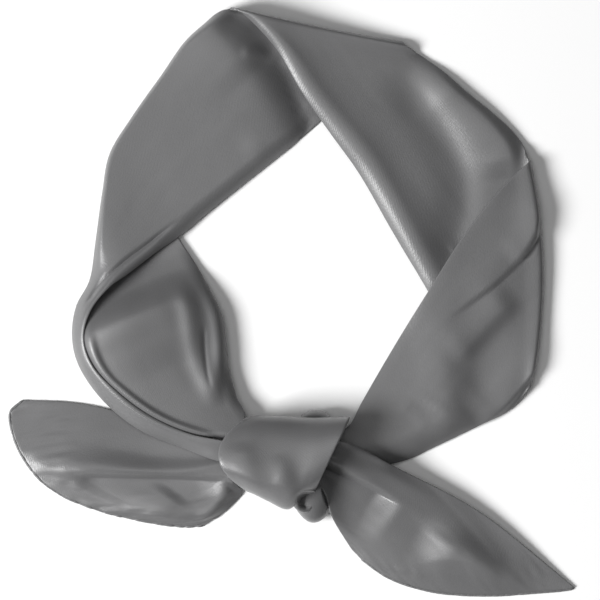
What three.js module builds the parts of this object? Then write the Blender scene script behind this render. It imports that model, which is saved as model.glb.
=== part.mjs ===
// A neckerchief: one satin square folded into a band, closed to a loop and tied in front, lying on a flat
// surface. Millimetres, +Z up, +Y towards the back of the neck, origin under the middle of its outline.
//
// The band is two plies of folded cloth. It leaves the left side of the knot, turns over at the left, lies
// under itself at the back and again at the right, and comes back into the right side of the knot.
// Each section, ray, ring or fold below is one row of a table. Places in plan are counted in
// six-hundredths of the lay width from its left side (across) and of the lay depth from its back (far).
// Heights are shares of the size that the column's comment names.
import * as THREE from "three";

// The square of table that the laid neckerchief fills, and the middle of its outline in it.
const layWidth = 300;
const layDepth = 300;
const laySteps = 600;
const middleAcross = 292.5;
const middleFar = 303.5;

// Cloth: the folded band, a single tail with its rolled hem, and the free space between two pieces and
// between two stretches of the band where it folds over.
const bandWall = 1.5;
const tailWall = 1.0;
const hemThickness = 2.0;
const clearance = 0.35;
const foldClearance = 1.0;

// Heights: the highest fold of the band above its own wall, and of the tails above theirs.
const bandLift = 20;
const leftTailLift = 10;
const rightTailLift = 20;

// How wide the rolled edge of the band is, and where a tail's sheet starts to reach for its hem, as a share
// of the way from its root to its tip.
const edgeRollWidth = 4;
const hemStart = 0.86;

// The knot: its size in plan and height, its cloth, and the cloth that turns under it.
const knotLength = 68;
const knotDepth = 47;
const knotHeight = 27;
const knotWall = 1.5;
const knotAcross = 285;
const knotFar = 460;
const underTurnWidth = 17;
const underTurnWall = 1.5;

// The curl beside the knot: its middle (shares of the knot's length and depth, and of its height at the
// foot), its widest radius (a share of the knot's depth), its height and cloth, and where its turn starts and
// how far it goes (shares of a whole turn).
const curlAlong = 0.16;
const curlBack = -0.505;
const curlBase = 0.408;
const curlRadius = 0.1;
const curlHeight = 7;
const curlWall = 1.2;
const curlStart = 0.62;
const curlTurn = 0.82;
const curlTightening = 0.3;

// How finely the solids are cut into facets.
const bandStepsPerRow = 2;
const bandStepsAcross = 9;
const tailStepsPerRay = 3;
const tailStepsAlong = 12;
const ringSides = 26;
const ringStepsPerRow = 2;
const hemSides = 6;
const hemSteps = 34;
const curlSteps = 16;

const satin = { color: 0x737376, roughness: 0.38, metalness: 0.1, side: THREE.DoubleSide };
const hemThread = { color: 0x68686b, roughness: 0.5, metalness: 0.1 };

// Rows of values as objects whose keys are the names in columns.
function table(columns, rows) {
  const names = columns.split(" ");
  return rows.map((row) => Object.fromEntries(names.map((name, i) => [name, row[i]])));
}

// A point of the lay, in millimetres, from its shares of the lay and its height.
function place(across, far, height) {
  const x = ((across - middleAcross) / laySteps) * layWidth;
  const y = ((middleFar - far) / laySteps) * layDepth;
  return new THREE.Vector3(x, y, height);
}

// A point of the knot, from its shares of the knot's length, depth and height.
function knotPlace(along, back, up) {
  const middle = place(knotAcross, knotFar, 0);
  return new THREE.Vector3(middle.x + along * knotLength, middle.y + back * knotDepth, up * knotHeight);
}

// A smooth curve through one point for each row, read at a row number that may lie between rows.
function rowCurve(points) {
  const curve = new THREE.CatmullRomCurve3(points, false, "centripetal");
  return (row) => curve.getPoint(THREE.MathUtils.clamp(row / (points.length - 1), 0, 1));
}

// A hump of height 1 between 0 and 1, with its top at the share peak.
function hump(share, peak) {
  const w = Math.pow(share, Math.log(0.5) / Math.log(peak));
  return 4 * w * (1 - w);
}

// How far a rolled edge has dropped at a distance from the edge, as a share of its whole drop.
function rollDrop(distance, width) {
  const s = Math.max(0, 1 - distance / width);
  return 1 - Math.sqrt(Math.max(0, 1 - s * s));
}

// The distance from a point to a path in plan, its sign by the side, and how far along the path it is.
function alongPath(point, path) {
  let best = { distance: Infinity, side: 1, along: 0 };
  for (let i = 0; i + 1 < path.length; i += 1) {
    const span = new THREE.Vector2().subVectors(path[i + 1], path[i]);
    const rest = new THREE.Vector2(point.x - path[i].x, point.y - path[i].y);
    const share = THREE.MathUtils.clamp(rest.dot(span) / span.lengthSq(), 0, 1);
    const distance = Math.hypot(rest.x - share * span.x, rest.y - share * span.y);
    if (distance < best.distance) {
      const side = Math.sign(span.x * rest.y - span.y * rest.x) || 1;
      best = { distance, side, along: (i + share) / (path.length - 1) };
    }
  }
  return best;
}

// The height that a list of folds adds at a point in plan. A fold with a step rises on its left side only.
function foldHeight(folds, point) {
  let height = 0;
  for (const fold of folds) {
    const { distance, side, along } = alongPath(point, fold.path);
    const fade = Math.min(1, 4 * along + fold.start) * Math.min(1, 4 * (1 - along) + fold.end);
    if (fold.step) {
      const inside = side > 0 ? Math.exp(-((distance / fold.step) ** 2)) : 0;
      height += fold.rise * fade * inside * Math.min(1, distance / fold.width);
    } else {
      height += fold.rise * fade * Math.exp(-((distance / fold.width) ** 2));
    }
  }
  return height;
}

// One row for each fold or dent of the band: the ply that it lies on, its path in plan as four places, its
// rise (a share of the band's lift), its half width and the reach of its step (shares of the lay width), and
// how full it starts and ends (0 fades out, 1 is cut by the ply's own edge).
const foldColumns = "on x0 y0 x1 y1 x2 y2 x3 y3 rise width step start end";
const bandFolds = table(foldColumns, [
  ["cup", 176, 292, 186, 318, 191, 350, 205, 398, 0.1, 0.011, 0, 0, 0.3],
  ["cup", 195, 278, 213, 312, 215, 360, 214, 412, 0.11, 0.011, 0, 0.4, 0.4],
  ["cup", 116, 292, 116, 310, 117, 330, 120, 350, 0.07, 0.012, 0, 0.2, 0],
  ["outer", 92, 300, 118, 267, 150, 242, 205, 200, -0.08, 0.006, 0, 0.5, 0],
  ["outer", 205, 44, 232, 36, 250, 52, 285, 60, -0.1, 0.02, 0, 0, 0.6],
  ["outer", 215, 90, 245, 92, 270, 90, 300, 84, -0.08, 0.03, 0, 0, 0.6],
  ["right_back", 440, 105, 462, 128, 478, 150, 482, 185, 0.08, 0.03, 0, 0, 0.4],
  ["right_back", 395, 60, 410, 110, 432, 160, 462, 215, -0.07, 0.035, 0, 0.2, 0.6],
  ["right_front", 428, 335, 476, 298, 520, 262, 537, 217, 0.1, 0.006, 0.09, 0, 1],
  ["right_front", 512, 300, 495, 323, 476, 342, 455, 362, -0.07, 0.02, 0, 0, 0],
  ["right_front", 532, 370, 512, 390, 498, 405, 486, 417, -0.06, 0.012, 0, 0.5, 0.2],
]);

function foldsOn(name) {
  return bandFolds
    .filter((row) => row.on === name)
    .map((row) => ({
      path: [0, 1, 2, 3].map((i) => {
        const point = place(row[`x${i}`], row[`y${i}`], 0);
        return new THREE.Vector2(point.x, point.y);
      }),
      rise: row.rise * bandLift,
      width: row.width * layWidth,
      step: row.step * layWidth,
      start: row.start,
      end: row.end,
    }));
}

// The band's sections. a and b are the places of its two edges, lift the height of each edge's shoulder
// (shares of the band's lift), under the number of plies beneath it, crown the height of its hump over the
// straight line between them (share of the lift) and peak the hump's place from a, bow how far the line bows
// out in plan (share of the lay width), and rollA and rollB the drop at each edge (shares of the lift).
const sectionColumns = "aAcross aFar aLift bAcross bFar bLift under crown peak bow rollA rollB";

// The outer ply: up the rim of the left side, over the left, round the back and down the right.
const outerSections = table(sectionColumns, [
  [262, 444, 0.78, 262, 462, 0.62, 0, 0.02, 0.5, 0, 0.02, 0.05],
  [221, 438, 0.84, 224, 463, 0.62, 0, 0.02, 0.5, 0, 0.04, 0.12],
  [188, 431, 0.8, 181, 448, 0.5, 0, 0.05, 0.5, 0, 0.08, 0.18],
  [149, 413, 0.78, 138, 430, 0.42, 0, 0.06, 0.5, 0, 0.1, 0.2],
  [117, 389, 0.78, 101, 400, 0.38, 0, 0.06, 0.5, 0, 0.1, 0.3],
  [94, 364, 0.78, 77, 364, 0.34, 0, 0.06, 0.5, 0, 0.1, 0.34],
  [86, 338, 0.8, 71, 336, 0.34, 0, 0.06, 0.5, 0, 0.1, 0.34],
  [93, 311, 0.82, 75, 306, 0.36, 0, 0.06, 0.5, 0, 0.1, 0.36],
  [111, 288, 0.82, 88, 281, 0.36, 0, 0.05, 0.5, 0, 0.12, 0.36],
  [130, 274, 0.8, 95, 240, 0.34, 0, 0.02, 0.5, 0, 0.14, 0.34],
  [158, 252, 0.74, 102, 190, 0.34, 0, 0, 0.5, 0, 0.14, 0.34],
  [180, 237, 0.68, 109, 153, 0.34, 0, 0, 0.5, 0, 0.14, 0.34],
  [204, 217, 0.58, 132, 115, 0.36, 0, 0, 0.5, 0, 0.14, 0.36],
  [240, 188, 0.46, 161, 74, 0.42, 0, 0, 0.5, 0, 0.14, 0.4],
  [272, 163, 0.36, 185, 40, 0.54, 0, -0.02, 0.6, 0, 0.14, 0.48],
  [305, 137, 0.24, 206, 20, 0.66, 0, -0.1, 0.7, 0, 0.12, 0.5],
  [345, 100, 0.08, 218, 12, 0.62, 0, -0.16, 0.7, 0, 0.04, 0.36],
  [392, 54, 0.02, 222, 12, 0.53, 0, -0.12, 0.66, 0, 0, 0.24],
  [403, 42, 0.12, 228, 8, 0.66, 0, -0.06, 0.6, 0.004, 0, 0.12],
  [408, 46, 0.3, 234, 11, 0.78, 0, 0, 0.5, 0.002, 0.1, 0.04],
  [413, 49, 0.36, 247, 19, 0.77, 0, 0.02, 0.5, 0, 0.2, 0.14],
  [419, 53, 0.3, 275, 49, 0.68, 0, 0, 0.5, 0, 0.26, 0.24],
  [427, 58, 0.32, 300, 92, 0.6, 0, -0.02, 0.5, 0, 0.3, 0.26],
  [443, 69, 0.34, 327, 131, 0.52, 0, -0.03, 0.5, 0, 0.32, 0.28],
  [466, 89, 0.34, 358, 174, 0.46, 0, -0.02, 0.5, 0, 0.32, 0.3],
  [492, 110, 0.34, 391, 231, 0.4, 0, 0, 0.5, 0, 0.32, 0.3],
  [513, 129, 0.36, 415, 271, 0.34, 0, 0, 0.5, 0, 0.3, 0.26],
  [523, 142, 0.38, 443, 315, 0.2, 0, 0, 0.5, 0.004, 0.22, 0.14],
  [526, 149, 0.38, 492, 362, 0.06, 0, -0.04, 0.6, 0.012, 0.1, 0.02],
  [527, 155, 0.4, 521, 382, 0.03, 0, -0.08, 0.6, 0.018, 0.04, 0],
  [529, 158, 0.46, 531, 387, 0.13, 0, -0.02, 0.6, 0.021, 0.02, 0],
  [525, 162, 0.49, 526, 391, 0.22, 1, 0.04, 0.6, 0.019, 0.02, 0.08],
  [515, 173, 0.46, 520, 401, 0.22, 1, 0.04, 0.6, 0.01, 0.03, 0.24],
  [492, 197, 0.44, 508, 413, 0.22, 1, 0.03, 0.6, 0.003, 0.04, 0.3],
  [461, 237, 0.42, 486, 424, 0.24, 1, 0.02, 0.6, 0, 0.05, 0.32],
  [427, 291, 0.38, 457, 438, 0.26, 1, 0, 0.5, 0, 0.06, 0.34],
  [401, 333, 0.28, 432, 450, 0.26, 1, 0, 0.5, 0, 0.12, 0.34],
  [376, 375, 0.26, 408, 461, 0.26, 1, 0, 0.5, 0, 0.14, 0.32],
  [360, 403, 0.28, 382, 466, 0.28, 1, 0, 0.5, 0, 0.1, 0.2],
  [348, 425, 0.3, 352, 460, 0.3, 1, 0, 0.5, 0, 0.03, 0.06],
  [334, 431, 0.32, 333, 452, 0.3, 1, 0, 0.5, 0, 0.02, 0.04],
]);
const topTurn = 18;
const rightTurn = 30;

// The inner ply: the hollow side that faces the neck on the left, from the knot to under the back.
const cupSections = table(sectionColumns, [
  [242, 440, 0.62, 241, 429, 0.64, 0, 0, 0.4, 0, 0.02, 0.02],
  [224, 439, 0.7, 245, 411, 0.48, 0, -0.04, 0.4, 0, 0.1, 0.04],
  [189, 433, 0.72, 238, 397, 0.4, 0, -0.12, 0.4, 0, 0.18, 0.14],
  [149, 417, 0.72, 230, 367, 0.34, 0, -0.26, 0.36, 0, 0.22, 0.26],
  [116, 393, 0.72, 227, 341, 0.32, 0, -0.34, 0.32, 0, 0.22, 0.28],
  [91, 366, 0.72, 223, 315, 0.32, 0, -0.38, 0.3, 0, 0.22, 0.28],
  [81, 338, 0.72, 211, 289, 0.32, 0, -0.4, 0.3, 0, 0.22, 0.28],
  [88, 309, 0.66, 196, 262, 0.28, 0, -0.36, 0.3, 0, 0.2, 0.26],
  [104, 288, 0.46, 181, 239, 0.2, 0, -0.2, 0.3, 0, 0.1, 0.18],
  [122, 271, 0.24, 165, 214, 0.1, 0, -0.08, 0.4, 0, 0.02, 0.08],
]);

// The point of a ply at a row number and at a share of the way from edge a to edge b.
function plySurface(sections, folds) {
  const levels = sections.map((row) => bandWall / 2 + row.under * (bandWall + clearance));
  const edge = (across, far, lift) =>
    rowCurve(sections.map((row, i) => place(row[across], row[far], levels[i] + row[lift] * bandLift)));
  const a = edge("aAcross", "aFar", "aLift");
  const b = edge("bAcross", "bFar", "bLift");
  const rise = rowCurve(sections.map((row) => new THREE.Vector3(row.crown * bandLift, row.peak, 0)));
  const shape = rowCurve(
    sections.map((row) => new THREE.Vector3(row.rollA * bandLift, row.rollB * bandLift, row.bow * layWidth)),
  );
  return (row, share) => {
    const [edgeA, edgeB, hill, form] = [a(row), b(row), rise(row), shape(row)];
    const width = Math.hypot(edgeB.x - edgeA.x, edgeB.y - edgeA.y);
    const rollWidth = Math.min(edgeRollWidth, width / 2);
    const inset = bandWall / 2 / width;
    const point = new THREE.Vector3().lerpVectors(edgeA, edgeB, inset + share * (1 - 2 * inset));
    const bow = form.z * hump(share, 0.5);
    point.x -= (bow * (edgeB.y - edgeA.y)) / width;
    point.y += (bow * (edgeB.x - edgeA.x)) / width;
    point.z += hill.x * hump(share, hill.y) + foldHeight(folds, point);
    point.z -= form.x * rollDrop(share * width, rollWidth);
    point.z -= form.y * rollDrop((1 - share) * width, rollWidth);
    point.z = Math.max(point.z, bandWall / 2);
    return point;
  };
}

// A closed body from a grid of points on its middle surface: two faces half a wall away on either side, a
// round rim along both edges and a flat cap at both ends. before and after are the lines that the surface
// goes on to past its ends, where it does.
function sheetGeometry(middle, wall, before, after) {
  const lines = [before ?? middle[0], ...middle, after ?? middle[middle.length - 1]];
  const columns = middle[0].length;
  const at = (i, j) => lines[i + 1][THREE.MathUtils.clamp(j, 0, columns - 1)];
  const loops = middle.map((line, i) => {
    const faces = line.map((point, j) => {
      const along = new THREE.Vector3().subVectors(at(i + 1, j), at(i - 1, j));
      const across = new THREE.Vector3().subVectors(at(i, j + 1), at(i, j - 1));
      const normal = across.cross(along).normalize().multiplyScalar(wall / 2);
      return [point.clone().add(normal), point.clone().sub(normal)];
    });
    const outward = (j, inner) =>
      at(i, j).clone().add(new THREE.Vector3().subVectors(at(i, j), at(i, inner)).setLength(wall / 2));
    const first = outward(0, 1);
    const last = outward(columns - 1, columns - 2);
    const up = faces.map((pair) => pair[0]);
    const down = faces.map((pair) => pair[1]).reverse();
    return [first, ...up, last, ...down].map((point) => point.setZ(Math.max(point.z, 0)));
  });
  return loftGeometry(loops, false);
}

// A closed body through loops of points. The ends are capped unless the last loop joins the first.
function loftGeometry(loops, joined) {
  const sides = loops[0].length;
  const positions = loops.flat().flatMap((point) => [point.x, point.y, point.z]);
  const index = [];
  const quad = (a, b, c, d) => index.push(a, b, c, a, c, d);
  const count = joined ? loops.length : loops.length - 1;
  for (let i = 0; i < count; i += 1) {
    const next = ((i + 1) % loops.length) * sides;
    for (let j = 0; j < sides; j += 1) {
      const k = (j + 1) % sides;
      quad(i * sides + j, next + j, next + k, i * sides + k);
    }
  }
  if (!joined) {
    const last = (loops.length - 1) * sides;
    for (let j = 1; j + 1 < sides - j; j += 1) {
      const [p, q, r, s] = [j, j + 1, sides - j - 1, sides - j];
      if (q < r) {
        quad(p, q, r, s);
        quad(last + s, last + r, last + q, last + p);
      } else {
        index.push(p, q, s, last + s, last + q, last + p);
      }
    }
    index.push(0, 1, sides - 1, last + sides - 1, last + 1, last);
  }
  const geometry = new THREE.BufferGeometry();
  geometry.setAttribute("position", new THREE.Float32BufferAttribute(positions, 3));
  geometry.setIndex(index);
  geometry.computeVertexNormals();
  return outward(geometry);
}

// The same geometry with its faces pointing out.
function outward(geometry) {
  const points = geometry.getAttribute("position");
  const index = geometry.getIndex();
  const [a, b, c] = [new THREE.Vector3(), new THREE.Vector3(), new THREE.Vector3()];
  let volume = 0;
  for (let i = 0; i < index.count; i += 3) {
    a.fromBufferAttribute(points, index.getX(i));
    b.fromBufferAttribute(points, index.getX(i + 1));
    c.fromBufferAttribute(points, index.getX(i + 2));
    volume += a.dot(b.cross(c));
  }
  if (volume < 0) {
    geometry.setIndex(Array.from(index.array).reverse());
    geometry.computeVertexNormals();
  }
  return geometry;
}

// A stretch of a ply between two rows. An end that meets the next stretch stops half the clearance short.
function bandStretch(name, surface, firstRow, lastRow, meetsBefore, meetsAfter) {
  const steps = (lastRow - firstRow) * bandStepsPerRow;
  const line = (row) =>
    Array.from({ length: bandStepsAcross + 1 }, (_, j) => {
      return surface(row, 0.5 - 0.5 * Math.cos((Math.PI * j) / bandStepsAcross));
    });
  const drawIn = (points, row, sign) => {
    const [back, ahead] = [line(row - 0.1), line(row + 0.1)];
    return points.map((point, j) => {
      const forward = new THREE.Vector3().subVectors(ahead[j], back[j]);
      return point.clone().add(forward.setLength((sign * foldClearance) / 2));
    });
  };
  const grid = Array.from({ length: steps + 1 }, (_, i) => line(firstRow + i / bandStepsPerRow));
  if (meetsBefore) grid[0] = drawIn(grid[0], firstRow, 1);
  if (meetsAfter) grid[steps] = drawIn(grid[steps], lastRow, -1);
  const before = meetsBefore ? line(firstRow - 1 / bandStepsPerRow) : undefined;
  const after = meetsAfter ? line(lastRow + 1 / bandStepsPerRow) : undefined;
  return clothMesh(name, sheetGeometry(grid, bandWall, before, after), satin);
}

function clothMesh(name, geometry, finish) {
  const mesh = new THREE.Mesh(geometry, new THREE.MeshStandardMaterial(finish));
  mesh.name = name;
  return mesh;
}

// The tails spread from the knot in rays. root and mouth are places in the knot (shares of its length,
// depth and height from its middle on the table), near, far and tip places of the lay with their heights
// (shares of the tail's lift).
const rayColumns = "rootX rootY rootZ mouthX mouthY mouthZ nearX nearY nearZ farX farY farZ tipX tipY tipZ";
const leftTailRays = table(rayColumns, [
  [-0.17, 0.1, 0.36, -0.4, 0.1, 0.31, 152, 422, 0.12, 84, 404, 0.03, 24, 397, 0.02],
  [-0.17, 0.06, 0.36, -0.42, 0.06, 0.31, 156, 440, 0.28, 84, 422, 0.16, 8, 412, 0.02],
  [-0.17, 0.02, 0.36, -0.42, 0.02, 0.32, 160, 457, 0.42, 88, 443, 0.32, 11, 437, 0.02],
  [-0.17, -0.02, 0.38, -0.42, -0.03, 0.35, 165, 471, 0.66, 92, 466, 0.62, 24, 464, 0.06],
  [-0.17, -0.05, 0.38, -0.42, -0.07, 0.34, 165, 480, 0.34, 100, 480, 0.26, 48, 490, 0.02],
  [-0.17, -0.08, 0.38, -0.4, -0.11, 0.34, 180, 490, 0.46, 130, 498, 0.36, 93, 511, 0.02],
  [-0.17, -0.1, 0.38, -0.39, -0.14, 0.34, 200, 494, 0.44, 172, 510, 0.32, 146, 524, 0.02],
  [-0.17, -0.12, 0.4, -0.38, -0.17, 0.36, 222, 492, 0.52, 210, 512, 0.36, 184, 529, 0.04],
  [-0.17, -0.13, 0.4, -0.38, -0.19, 0.33, 242, 493, 0.1, 228, 509, 0.05, 204, 528, 0.02],
]);
const rightTailRays = table(rayColumns, [
  [0.2, 0.24, 0.66, 0.42, 0.21, 0.62, 398, 468, 0.48, 480, 512, 0.26, 577, 590, 0.02],
  [0.2, 0.16, 0.7, 0.4, 0.1, 0.68, 398, 480, 0.6, 486, 532, 0.34, 570, 592, 0.02],
  [0.2, 0.08, 0.74, 0.38, 0, 0.72, 390, 488, 0.64, 480, 553, 0.34, 538, 595, 0.02],
  [0.19, 0, 0.62, 0.36, -0.08, 0.58, 378, 497, 0.32, 440, 550, 0.14, 488, 598, 0.02],
  [0.18, -0.08, 0.56, 0.34, -0.17, 0.53, 364, 508, 0.3, 402, 555, 0.12, 432, 594, 0.02],
  [0.17, -0.14, 0.54, 0.31, -0.24, 0.52, 346, 516, 0.42, 366, 550, 0.16, 388, 580, 0.02],
  [0.16, -0.19, 0.54, 0.28, -0.32, 0.52, 331, 515, 0.48, 345, 539, 0.14, 359, 560, 0.02],
]);

// The point of a tail at a ray number and at a share of the way from its root to its tip.
function tailSurface(rays, lift) {
  const inKnot = (row, key) => knotPlace(row[`${key}X`], row[`${key}Y`], row[`${key}Z`]);
  const onLay = (row, key) => place(row[`${key}X`], row[`${key}Y`], tailWall / 2 + row[`${key}Z`] * lift);
  const knots = ["root", "mouth"].map((key) => rowCurve(rays.map((row) => inKnot(row, key))));
  const lays = ["near", "far", "tip"].map((key) => rowCurve(rays.map((row) => onLay(row, key))));
  return (ray, share) => {
    const points = [...knots, ...lays].map((curve) => curve(ray));
    const point = rowCurve(points)(share * (points.length - 1));
    return point.setZ(Math.max(point.z, tailWall / 2));
  };
}

// The direction along a tail's free edge at a ray, level with the table.
function edgeAt(surface, ray, lastRay) {
  const [before, after] = [Math.max(ray - 0.1, 0), Math.min(ray + 0.1, lastRay)];
  return new THREE.Vector3().subVectors(surface(after, 1), surface(before, 1)).setZ(0).normalize();
}

// The place at a distance inside the tail's free edge: straight along the ray where the two cross squarely,
// square to the edge where the ray runs beside it.
function insideEdge(surface, ray, lastRay, distance) {
  const tip = surface(ray, 1);
  const edge = edgeAt(surface, ray, lastRay);
  const alongRay = new THREE.Vector3().subVectors(surface(ray, 0.96), tip).setZ(0).normalize();
  const normal = new THREE.Vector3(-edge.y, edge.x, 0);
  normal.multiplyScalar(Math.sign(normal.dot(alongRay)));
  const inward = normal.clone().lerp(alongRay, normal.dot(alongRay) ** 2).normalize();
  return tip.addScaledVector(inward, distance / inward.dot(normal));
}

// A tail's sheet. It stops short of its free edge by the hem and the clearance to it.
function tail(name, rays, lift) {
  const surface = tailSurface(rays, lift);
  const lastRay = rays.length - 1;
  const grid = [];
  for (let i = 0; i <= lastRay * tailStepsPerRay; i += 1) {
    const ray = i / tailStepsPerRay;
    const line = [];
    for (let j = 0; j < tailStepsAlong; j += 1) {
      line.push(surface(ray, (hemStart * j) / (tailStepsAlong - 1)));
    }
    line.push(insideEdge(surface, ray, lastRay, hemThickness + clearance + tailWall / 2));
    grid.push(line);
  }
  return clothMesh(name, sheetGeometry(grid, tailWall), satin);
}

// A rolled hem along a tail's free edge, from its first ray to its last.
function hem(name, rays, lift) {
  const surface = tailSurface(rays, lift);
  const lastRay = rays.length - 1;
  const radius = hemThickness / 2;
  const loops = [];
  for (let i = 0; i <= hemSteps; i += 1) {
    const ray = (i / hemSteps) * lastRay;
    const edge = edgeAt(surface, ray, lastRay);
    const middle = insideEdge(surface, ray, lastRay, radius).setZ(radius);
    const loop = [];
    for (let k = 0; k < hemSides; k += 1) {
      const turn = (2 * Math.PI * (k + 0.5)) / hemSides;
      const side = new THREE.Vector3(edge.y, -edge.x, 0).multiplyScalar(radius * Math.cos(turn));
      const point = middle.clone().add(side);
      loop.push(point.setZ(Math.max(0, point.z + radius * Math.sin(turn))));
    }
    loops.push(loop);
  }
  return clothMesh(name, loftGeometry(loops, false), hemThread);
}

// The wrap's rings from its left rim to its right: the ring's middle (shares of the knot's length and depth),
// its half depth and half height, how far it leans (across for each unit back) and how far it bows left.
const wrapRings = table("along back halfDepth halfHeight lean bow", [
  [-0.27, 0.07, 0.34, 0.38, 0, 0.14],
  [-0.28, 0.07, 0.385, 0.45, 0, 0.19],
  [-0.21, 0.055, 0.42, 0.485, 0, 0.18],
  [-0.09, 0.02, 0.455, 0.5, 0.08, 0.11],
  [0.1, -0.03, 0.487, 0.5, 0.24, 0.03],
  [0.235, 0.021, 0.441, 0.49, 0.42, 0],
  [0.35, 0.08, 0.39, 0.475, 0.49, 0],
]);

// One ring of the wrap at a row number, inside its outer face by inset.
function wrapRing(row, inset) {
  const base = underTurnWall + clearance;
  const first = rowCurve(wrapRings.map((r) => new THREE.Vector3(r.along, r.back, r.halfDepth)))(row);
  const second = rowCurve(wrapRings.map((r) => new THREE.Vector3(r.halfHeight, r.lean, r.bow)))(row);
  const [halfDepth, halfHeight] = [first.z * knotDepth - inset, second.x * knotHeight - inset];
  const loop = [];
  for (let k = 0; k < ringSides; k += 1) {
    const turn = (2 * Math.PI * k) / ringSides;
    const round = (v) => Math.sign(v) * Math.pow(Math.abs(v), 0.8);
    const back = halfDepth * round(Math.cos(turn));
    const middle = knotPlace(first.x, first.y, 0.5);
    const bow = second.z * knotLength * (1 - (back / halfDepth) ** 2);
    const height = middle.z + base + halfHeight * round(Math.sin(turn));
    loop.push(new THREE.Vector3(middle.x + second.y * back - bow, middle.y + back, height));
  }
  return loop;
}

// The wrap: an open sleeve of cloth round the band's ends, with a rounded rim at both sides.
function knotWrap() {
  const last = wrapRings.length - 1;
  const rows = Array.from({ length: last * ringStepsPerRow + 1 }, (_, i) => i / ringStepsPerRow);
  const outer = rows.map((row) => wrapRing(row, 0));
  const inner = rows.map((row) => wrapRing(row, knotWall)).reverse();
  return clothMesh("knot_wrap", loftGeometry([...outer, ...inner], true), satin);
}

// The cloth that turns under the wrap and shows behind and in front of it: its way from back to front as
// places along the knot, across its depth and up (shares of the knot's), and its share of its widest width.
const underTurnRows = table("along back up wide", [
  [0.225, 0.49, 0.36, 0.5],
  [0.225, 0.495, 0.26, 0.75],
  [0.225, 0.485, 0.1, 0.82],
  [0.225, 0.43, 0, 0.84],
  [0.22, 0, 0, 0.9],
  [0.205, -0.46, 0, 1],
  [0.205, -0.59, 0.06, 1],
  [0.205, -0.625, 0.2, 0.86],
  [0.2, -0.59, 0.36, 0.5],
]);

function underTurn() {
  const path = rowCurve(
    underTurnRows.map((r) => {
      const point = knotPlace(r.along, r.back, r.up);
      return point.setZ(Math.max(point.z, underTurnWall / 2));
    }),
  );
  const wide = rowCurve(underTurnRows.map((r) => new THREE.Vector3((r.wide * underTurnWidth) / 2, 0, 0)));
  const grid = [];
  for (let row = 0; row <= underTurnRows.length - 1; row += 0.5) {
    const middle = path(row);
    const half = wide(row).x;
    grid.push([-1, -0.5, 0, 0.5, 1].map((share) => middle.clone().setX(middle.x + share * half)));
  }
  return clothMesh("knot_under_turn", sheetGeometry(grid, underTurnWall), satin);
}

// The curl: the wrap's front corner, turned round on itself and standing beside the wrap.
function knotCurl() {
  const grid = [];
  const middle = knotPlace(curlAlong, curlBack, curlBase);
  for (let i = 0; i <= curlSteps; i += 1) {
    const turn = 2 * Math.PI * (curlStart + (curlTurn * i) / curlSteps);
    const radius = curlRadius * knotDepth * (1 - (curlTightening * i) / curlSteps);
    const foot = new THREE.Vector3(Math.cos(turn), Math.sin(turn), 0).multiplyScalar(radius).add(middle);
    grid.push([0, 0.33, 0.67, 1].map((share) => foot.clone().setZ(foot.z + share * curlHeight)));
  }
  return clothMesh("knot_curl", sheetGeometry(grid, curlWall), satin);
}

const neckerchief = new THREE.Group();
const outerFolds = ["outer", "right_back", "right_front"].map(foldsOn);
const last = outerSections.length - 1;
neckerchief.add(
  bandStretch("left_front_band", plySurface(cupSections, foldsOn("cup")), 0, cupSections.length - 1),
  bandStretch("left_back_band", plySurface(outerSections, outerFolds[0]), 0, topTurn, false, true),
  bandStretch("right_back_band", plySurface(outerSections, outerFolds[1]), topTurn, rightTurn, true, true),
  bandStretch("right_front_band", plySurface(outerSections, outerFolds[2]), rightTurn, last, true, false),
  knotWrap(),
  underTurn(),
  knotCurl(),
  tail("left_tail", leftTailRays, leftTailLift),
  hem("left_tail_hem", leftTailRays, leftTailLift),
  tail("right_tail", rightTailRays, rightTailLift),
  hem("right_tail_hem", rightTailRays, rightTailLift),
);

export default neckerchief;
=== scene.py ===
import math

import bpy
import numpy as np
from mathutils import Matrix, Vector


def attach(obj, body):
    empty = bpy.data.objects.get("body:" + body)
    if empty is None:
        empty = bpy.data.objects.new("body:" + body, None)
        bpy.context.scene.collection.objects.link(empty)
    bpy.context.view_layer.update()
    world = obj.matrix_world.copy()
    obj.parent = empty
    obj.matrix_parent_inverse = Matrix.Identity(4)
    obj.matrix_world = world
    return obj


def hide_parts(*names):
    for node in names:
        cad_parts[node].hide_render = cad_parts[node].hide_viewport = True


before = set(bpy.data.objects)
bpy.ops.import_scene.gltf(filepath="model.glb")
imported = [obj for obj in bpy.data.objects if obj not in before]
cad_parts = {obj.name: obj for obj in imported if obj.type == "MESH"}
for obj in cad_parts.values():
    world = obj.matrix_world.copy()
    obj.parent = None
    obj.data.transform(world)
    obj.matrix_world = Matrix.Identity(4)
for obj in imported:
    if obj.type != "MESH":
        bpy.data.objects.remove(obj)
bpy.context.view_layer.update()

# The lay of the neckerchief. Places in plan are counted in six-hundredths of the lay from its left and its
# back, as in the solids, and heights in millimetres.
LAY = 300.0
STEPS = 600
MIDDLE = (292.5, 303.5)
MM = 0.001

BAND_WALL = 1.5
BAND_SHEET = 1.1
TAIL_WALL = 0.9
CLEARANCE = 0.35
BAND_LIFT = 20.0
LEFT_TAIL_LIFT = 10.0
RIGHT_TAIL_LIFT = 20.0
HEM = 2.0

# How far from its root a tail's sheet follows its rays, before it reaches for its hem.
SHEET_END = 0.86
# The hem: the step along it, the length of a stitch, and the cloth coordinate round a tube of cloth.
HEM_STEP = 0.35
STITCH = 3.2
ROUND_A_TUBE = 4 / 6.28

KNOT_LENGTH, KNOT_DEPTH, KNOT_HEIGHT = 68.0, 47.0, 27.0
KNOT_WALL = 1.5
KNOT_AT = (285.0, 460.0)
UNDER_WALL = 1.5


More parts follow.
